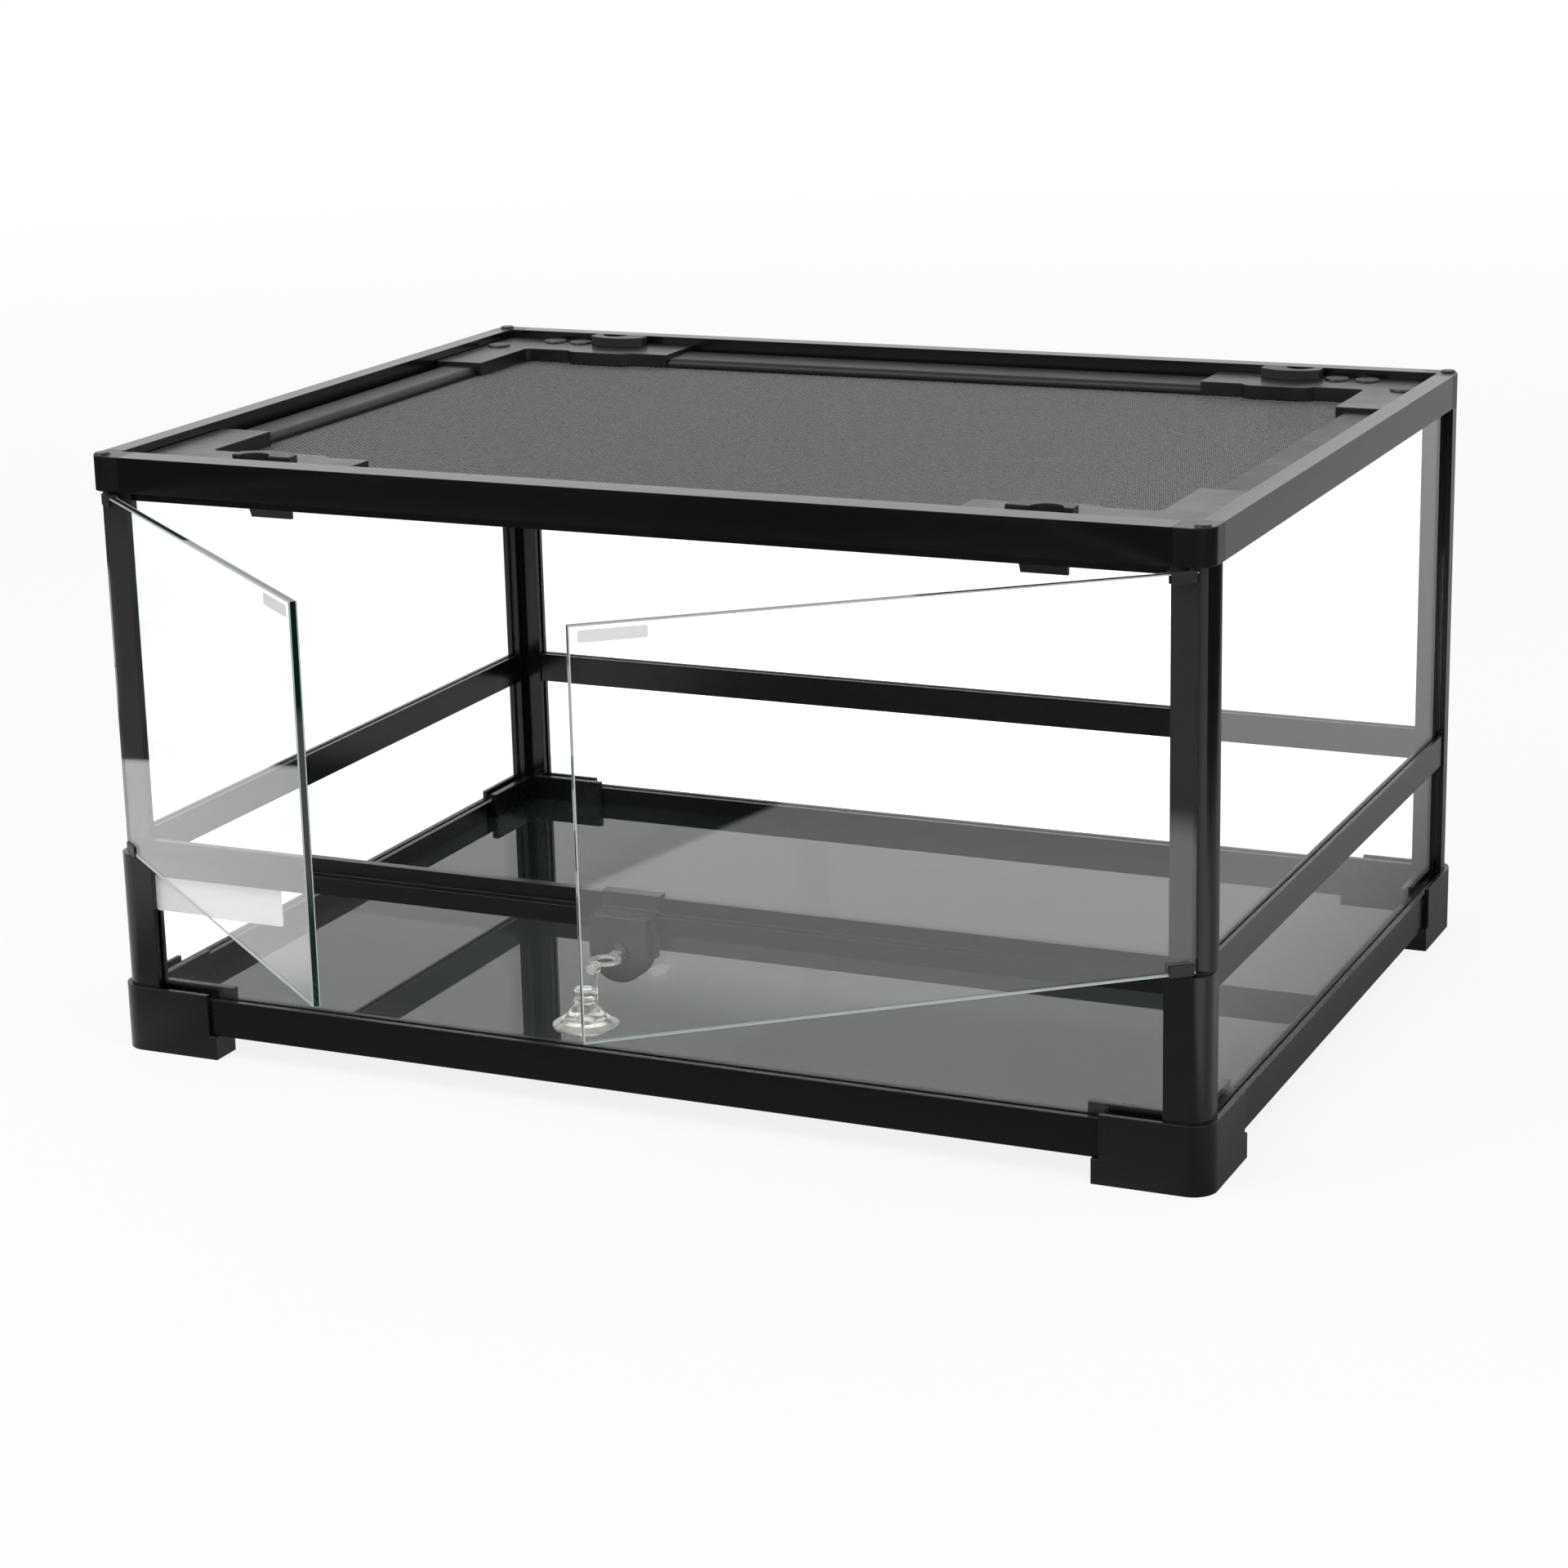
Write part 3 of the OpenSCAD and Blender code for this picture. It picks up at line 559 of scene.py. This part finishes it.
def grow(name, builder, material, **sizes):
    """A plain mesh from a Geometry Nodes tree with the named inputs."""
    tree = bpy.data.node_groups.new(name + "_tree", "GeometryNodeTree")
    face = tree.interface
    face.new_socket(name="Geometry", in_out="OUTPUT", socket_type="NodeSocketGeometry")
    sockets = {}
    for key, value in sizes.items():
        kind = "NodeSocketInt" if isinstance(value, int) else "NodeSocketFloat"
        sockets[key] = face.new_socket(name=key, in_out="INPUT", socket_type=kind)
    growth = Growth(tree)
    real = growth.put("GeometryNodeRealizeInstances", Geometry=builder(growth))
    dressed = growth.put("GeometryNodeSetMaterial", Geometry=real, Material=material)
    growth.link(dressed, growth.group_out.inputs[0])
    seed = bpy.data.objects.new(name + "_seed", bpy.data.meshes.new(name + "_seed"))
    scene.collection.objects.link(seed)
    modifier = seed.modifiers.new("grow", "NODES")
    modifier.node_group = tree
    for key, value in sizes.items():
        modifier[sockets[key].identifier] = value
    depsgraph = bpy.context.evaluated_depsgraph_get()
    mesh = bpy.data.meshes.new_from_object(
        seed.evaluated_get(depsgraph), depsgraph=depsgraph
    )
    mesh.name = name
    bpy.data.objects.remove(seed)
    return mesh


def crimped_wires(growth):
    """Crimped wires along X, one every pitch along Y, each over and under by turns.
    shift says which way the first one starts."""
    pitch = growth.size("pitch")

    def row_of_points(count, direction, start):
        line = growth.put(
            "GeometryNodeMeshLine",
            {"mode": "OFFSET"},
            Count=growth.size(count),
            Offset=growth.put("ShaderNodeCombineXYZ", **{direction: pitch}),
        )
        moved = growth.put("ShaderNodeCombineXYZ", **{direction: growth.size(start)})
        return growth.put("GeometryNodeTransform", Geometry=line, Translation=moved)

    line = row_of_points("points", "X", "x0")
    rows = row_of_points("rows", "Y", "y0")
    placed = growth.put("GeometryNodeInstanceOnPoints", Points=rows, Instance=line)
    real = growth.put("GeometryNodeRealizeInstances", Geometry=placed)
    spot = growth.add("ShaderNodeSeparateXYZ")
    growth.link(growth.put("GeometryNodeInputPosition"), spot.inputs[0])
    column = growth.math("DIVIDE", spot.outputs[0], pitch)
    row = growth.math("DIVIDE", spot.outputs[1], pitch)
    beat = growth.math("ADD", growth.math("ADD", column, row), growth.size("shift"))
    wave = growth.math("COSINE", growth.math("MULTIPLY", beat, math.pi))
    lift = growth.put(
        "ShaderNodeCombineXYZ", Z=growth.math("MULTIPLY", wave, growth.size("crimp"))
    )
    moved = growth.put("GeometryNodeSetPosition", Geometry=real, Offset=lift)
    return growth.put(
        "GeometryNodeCurveToMesh",
        Curve=growth.put("GeometryNodeMeshToCurve", Mesh=moved),
        Profile_Curve=growth.put(
            "GeometryNodeCurvePrimitiveCircle", Resolution=3, Radius=growth.size("radius")
        ),
    )


def wires_in(length):
    """The number of wires that fit in length, and the place of the first."""
    count = int(length / MESH_PITCH)
    return count + 1, -count * MESH_PITCH / 2


def weave(name, points, wires, point_start, wire_start, shift, turned):
    """One set of the lid's wires, in TILES pieces. turned lays the wires along Y."""
    pieces = []
    for tile in range(TILES):
        first = wires * tile // TILES
        mesh = grow(
            name % tile, crimped_wires, wire_black, points=points,
            rows=wires * (tile + 1) // TILES - first, x0=point_start,
            y0=wire_start + first * MESH_PITCH, shift=shift, pitch=MESH_PITCH,
            radius=WIRE_RADIUS, crimp=WIRE_CRIMP,
        )
        if turned:
            mesh.transform(SWAP_X_Y)
            mesh.flip_normals()
        mesh.transform(Matrix.Translation((0, mesh_mid[1], mesh_mid[2])))
        pieces.append(new_piece(name % tile, mesh, None, "lid"))
    return pieces


mesh_low, mesh_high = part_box("lid_mesh")
mesh_mid = [(low + high) / 2 for low, high in zip(mesh_low, mesh_high)]
columns, x_start = wires_in(mesh_high[0] - mesh_low[0] - MESH_MARGIN)
rows, y_start = wires_in(mesh_high[1] - mesh_low[1] - MESH_MARGIN)
first_beat = -(x_start + y_start) / MESH_PITCH
across = weave("mesh_wires_across_%d", columns, rows, x_start, y_start, first_beat, False)
weave("mesh_wires_along_%d", rows, columns, y_start, x_start, first_beat + 1, True)
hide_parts("lid_mesh")


# ------------------------------------------------------------------ doors and films


def label(name, body, place, x_range, z_range, lift):
    """A thin blank film on glass, laid out along the glass and turned with it. It lies
    on the glass face at lift, on the side away from the middle of the glass."""
    form = bmesh.new()
    bmesh.ops.create_cube(form, size=1.0)
    size = Matrix.Diagonal((x_range[1] - x_range[0], FILM_THICK, z_range[1] - z_range[0], 1))
    centre = (sum(x_range) / 2, lift + math.copysign(FILM_THICK / 2, lift), sum(z_range) / 2)
    form.transform(Matrix.Translation(centre) @ size)
    upright = [
        edge for edge in form.edges
        if abs(edge.verts[0].co.y - edge.verts[1].co.y) > FILM_THICK / 2
    ]
    bmesh.ops.bevel(
        form, geom=upright, offset=FILM_CORNER, segments=3, affect="EDGES", profile=0.5
    )
    return form_piece(name, form, place, label_film, body)


def seamed_edges(name, body, place, low, high):
    """The fine ground line on both faces of a door, where its sharp edge is taken off:
    along the bottom from the hinge, up the free edge, and back along the top."""
    half = (high[1] - low[1]) / 2
    # inset from the edge of the glass, and distance from its middle plane
    outline = (
        (SEAM_WIDE, half + SEAM_PROUD), (SEAM_CUT, half + SEAM_PROUD),
        (-SEAM_PROUD, half - SEAM_CUT), (-SEAM_PROUD, half - SEAM_WIDE),
        (SEAM_PROUD, half - SEAM_WIDE), (SEAM_PROUD, half - SEAM_PROUD),
        (SEAM_WIDE, half - SEAM_PROUD),
    )
    form = bmesh.new()
    for face in (-1, 1):
        rings = []
        for x_end, z_end in ((0, 0), (1, 0), (1, 1), (0, 1)):
            corner = Vector((high[0] if x_end else low[0], 0, high[2] if z_end else low[2]))
            inward = Vector((-1 if x_end else 0, 0, -1 if z_end else 1))
            rings.append([
                form.verts.new(corner + inward * inset + Vector((0, face * out, 0)))
                for inset, out in outline
            ])
        for ring, following in zip(rings, rings[1:]):
            for spot in range(len(outline)):
                after = (spot + 1) % len(outline)
                form.faces.new((ring[spot], ring[after], following[after], following[spot]))
        form.faces.new(rings[0])
        form.faces.new(rings[-1])
    bmesh.ops.recalc_face_normals(form, faces=form.faces)
    return form_piece(name, form, place, ground_edge, body)


def glass_size(node, place):
    """The lowest and highest corner of a hung door, in the door's own directions."""
    back = place.inverted()
    points = [back @ vertex.co for vertex in nodes[node].data.vertices]
    return (
        Vector([min(point[k] for point in points) for k in range(3)]),
        Vector([max(point[k] for point in points) for k in range(3)]),
    )


for side, hand, turn in (("left", -1, -LEFT_OPEN), ("right", 1, math.pi + RIGHT_OPEN)):
    place = Matrix.Translation((hand * PIVOT_X, PIVOT_Y, 0)) @ Matrix.Rotation(turn, 4, "Z")
    door_low, door_high = glass_size("door_%s_glass" % side, place)
    body = side + "_door"
    seamed_edges("door_%s_seamed_edges" % side, body, place, door_low, door_high)
    label_end = door_high[0] - LABEL_ASIDE
    label_top = door_high[2] - LABEL_BELOW
    label(
        "label_%s_door" % side, body, place, (label_end - LABEL_LONG, label_end),
        (label_top - LABEL_TALL, label_top), door_high[1] if hand > 0 else door_low[1],
    )
window_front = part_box("front_window")[0][1]
label("label_window", "tank", Matrix(), WINDOW_LABEL_X, WINDOW_LABEL_Z, window_front)


# ------------------------------------------------------------------ stage


def light_steps(finish, value, stops):
    """A value that goes through the stops, each a place and a level."""
    first, last = stops[0][0], stops[-1][0]
    node = finish.add("ShaderNodeValToRGB")
    finish.link(finish.ramp(value, first, last, 0.0, 1.0), node.inputs[0])
    elements = node.color_ramp.elements
    while len(elements) < len(stops):
        elements.new(1.0)
    for element, (place, level) in zip(elements, stops):
        element.position = (place - first) / (last - first)
        element.color = (level, level, level, 1)
    return node.outputs["Color"]


def ray_kinds(finish):
    """Whether a ray comes straight from the camera or through clear glass, how much
    the panes it went through are made up for, and whether it was mirrored first."""
    path = finish.add("ShaderNodeLightPath")
    mirrored = finish.math("MINIMUM", path.outputs["Glossy Depth"], 1.0)
    scattered = finish.math("MINIMUM", path.outputs["Diffuse Depth"], 1.0)
    unscattered = finish.less_from_one(scattered)
    unbent = finish.math("MULTIPLY", finish.less_from_one(mirrored), unscattered)
    through = finish.math("MULTIPLY", path.outputs["Is Transmission Ray"], unbent)
    straight = finish.math("MAXIMUM", path.outputs["Is Camera Ray"], through)
    panes = finish.ramp(path.outputs["Transmission Depth"], *PANE_DEPTHS, *GLASS_LIFT)
    lift = finish.math("MULTIPLY", through, panes)
    in_gloss = finish.math("MULTIPLY", mirrored, unscattered)
    return straight, lift, in_gloss


def stage_material():
    """A pale floor. Seen straight or through glass it is near white. Mirrored, it glows as a
    painted
    reflection: a bright sheet with straight sides, dimmed close to the tank by painted
    shade, and dark beyond it."""
    finish = Finish("pale_floor")
    finish.set(Roughness=0.9, Specular_IOR_Level=0.0)
    speck = finish.noise(30.0)
    finish.drive("Base Color", finish.tint(speck, (0.92, 0.92, 0.92), (0.94, 0.94, 0.94)))
    straight, lift, in_gloss = ray_kinds(finish)
    spot = finish.add("ShaderNodeSeparateXYZ")
    finish.link(finish.place(), spot.inputs[0])
    ahead = light_steps(finish, spot.outputs["X"], SHEET_AHEAD)
    beside = light_steps(finish, spot.outputs["X"], SHEET_BESIDE)
    past_front = finish.ramp(spot.outputs["Y"], *PAST_FRONT, 0.0, 1.0)
    across_sheet = finish.math(
        "ADD",
        finish.math("MULTIPLY", ahead, finish.less_from_one(past_front)),
        finish.math("MULTIPLY", beside, past_front),
    )
    # The sheet is painted reflection, the glow that mirrored rays see, with painted shade
    # close to the tank
    on_sheet = finish.ramp(
        spot.outputs["Y"], SHEET_FRONT - SHEET_BLUR, SHEET_FRONT, 0.0, SHEET_GAIN
    )
    painted_sheet = finish.math("MULTIPLY", across_sheet, on_sheet)
    reach = finish.add("ShaderNodeVectorMath", operation="LENGTH")
    finish.link(finish.place(), reach.inputs[0])
    seen = finish.ramp(reach.outputs["Value"], *FLOOR_FADE, FLOOR_SEEN, 1.0)
    share = finish.math("ADD", finish.math("MULTIPLY", straight, seen), in_gloss)
    painted_reflection_level = finish.math("MAXIMUM", painted_sheet, SHEET_DARKEST)
    level = finish.math(
        "ADD",
        finish.math("ADD", straight, lift),
        finish.math("MULTIPLY", in_gloss, painted_reflection_level),
    )
    glow = finish.add("ShaderNodeEmission")
    finish.link(level, glow.inputs["Strength"])
    finish.cover(share, glow)
    return finish.material


def studio_floor():
    half = FLOOR_HALF
    mesh = bpy.data.meshes.new("studio_floor")
    corners = [(-half, -half, 0), (half, -half, 0), (half, half, 0), (-half, half, 0)]
    mesh.from_pydata(corners, [], [(0, 1, 2, 3)])
    mesh.materials.append(stage_material())
    floor = bpy.data.objects.new("studio_floor", mesh)
    scene.collection.objects.link(floor)


def studio_world():
    """White all round: full white for what is seen or mirrored, less as a lamp."""
    world = bpy.data.worlds.new("studio")
    world.use_nodes = True
    sky = Nodes(world.node_tree)
    straight, lift, in_gloss = ray_kinds(sky)
    seen = sky.math("MAXIMUM", straight, in_gloss)
    plain = sky.math("ADD", sky.math("MULTIPLY", seen, 1.0 - SKY_LIGHT), SKY_LIGHT)
    background = sky.add("ShaderNodeBackground")
    background.inputs["Color"].default_value = (1, 1, 1, 1)
    sky.link(sky.math("ADD", plain, lift), background.inputs["Strength"])
    output = sky.add("ShaderNodeOutputWorld")
    sky.link(background.outputs[0], output.inputs["Surface"])
    return world


def soft_lamp(name, place, power):
    lamp = bpy.data.lights.new(name, "AREA")
    lamp.shape = "RECTANGLE"
    lamp.size = lamp.size_y = LAMP_SIDE
    lamp.energy = power
    item = bpy.data.objects.new(name, lamp)
    item.location = place
    towards = Vector(LAMP_AIM) - Vector(place)
    item.rotation_euler = towards.to_track_quat("-Z", "Y").to_euler()
    scene.collection.objects.link(item)


def view_camera():
    right = Vector((math.cos(YAW), math.sin(YAW), 0))
    level = Vector((-math.sin(YAW), math.cos(YAW), 0))
    up = Vector((0, 0, 1))
    forward = math.cos(PITCH) * level - math.sin(PITCH) * up
    upright = math.sin(PITCH) * level + math.cos(PITCH) * up
    camera_right = math.cos(ROLL) * right + math.sin(ROLL) * upright
    camera_up = -math.sin(ROLL) * right + math.cos(ROLL) * upright
    lens = bpy.data.cameras.new("camera")
    lens.sensor_width = SENSOR_WIDE
    lens.lens = FOCAL_PIXELS / PICTURE_WIDE * SENSOR_WIDE
    lens.clip_end = CLIP_END
    camera = bpy.data.objects.new("camera", lens)
    turn = Matrix((camera_right, camera_up, -forward)).transposed().to_4x4()
    camera.matrix_world = Matrix.Translation(EYE) @ turn
    scene.collection.objects.link(camera)
    return camera


studio_floor()
scene.world = studio_world()
soft_lamp("key_softbox", KEY_PLACE, KEY_POWER)
soft_lamp("fill_softbox", FILL_PLACE, FILL_POWER)
scene.camera = view_camera()
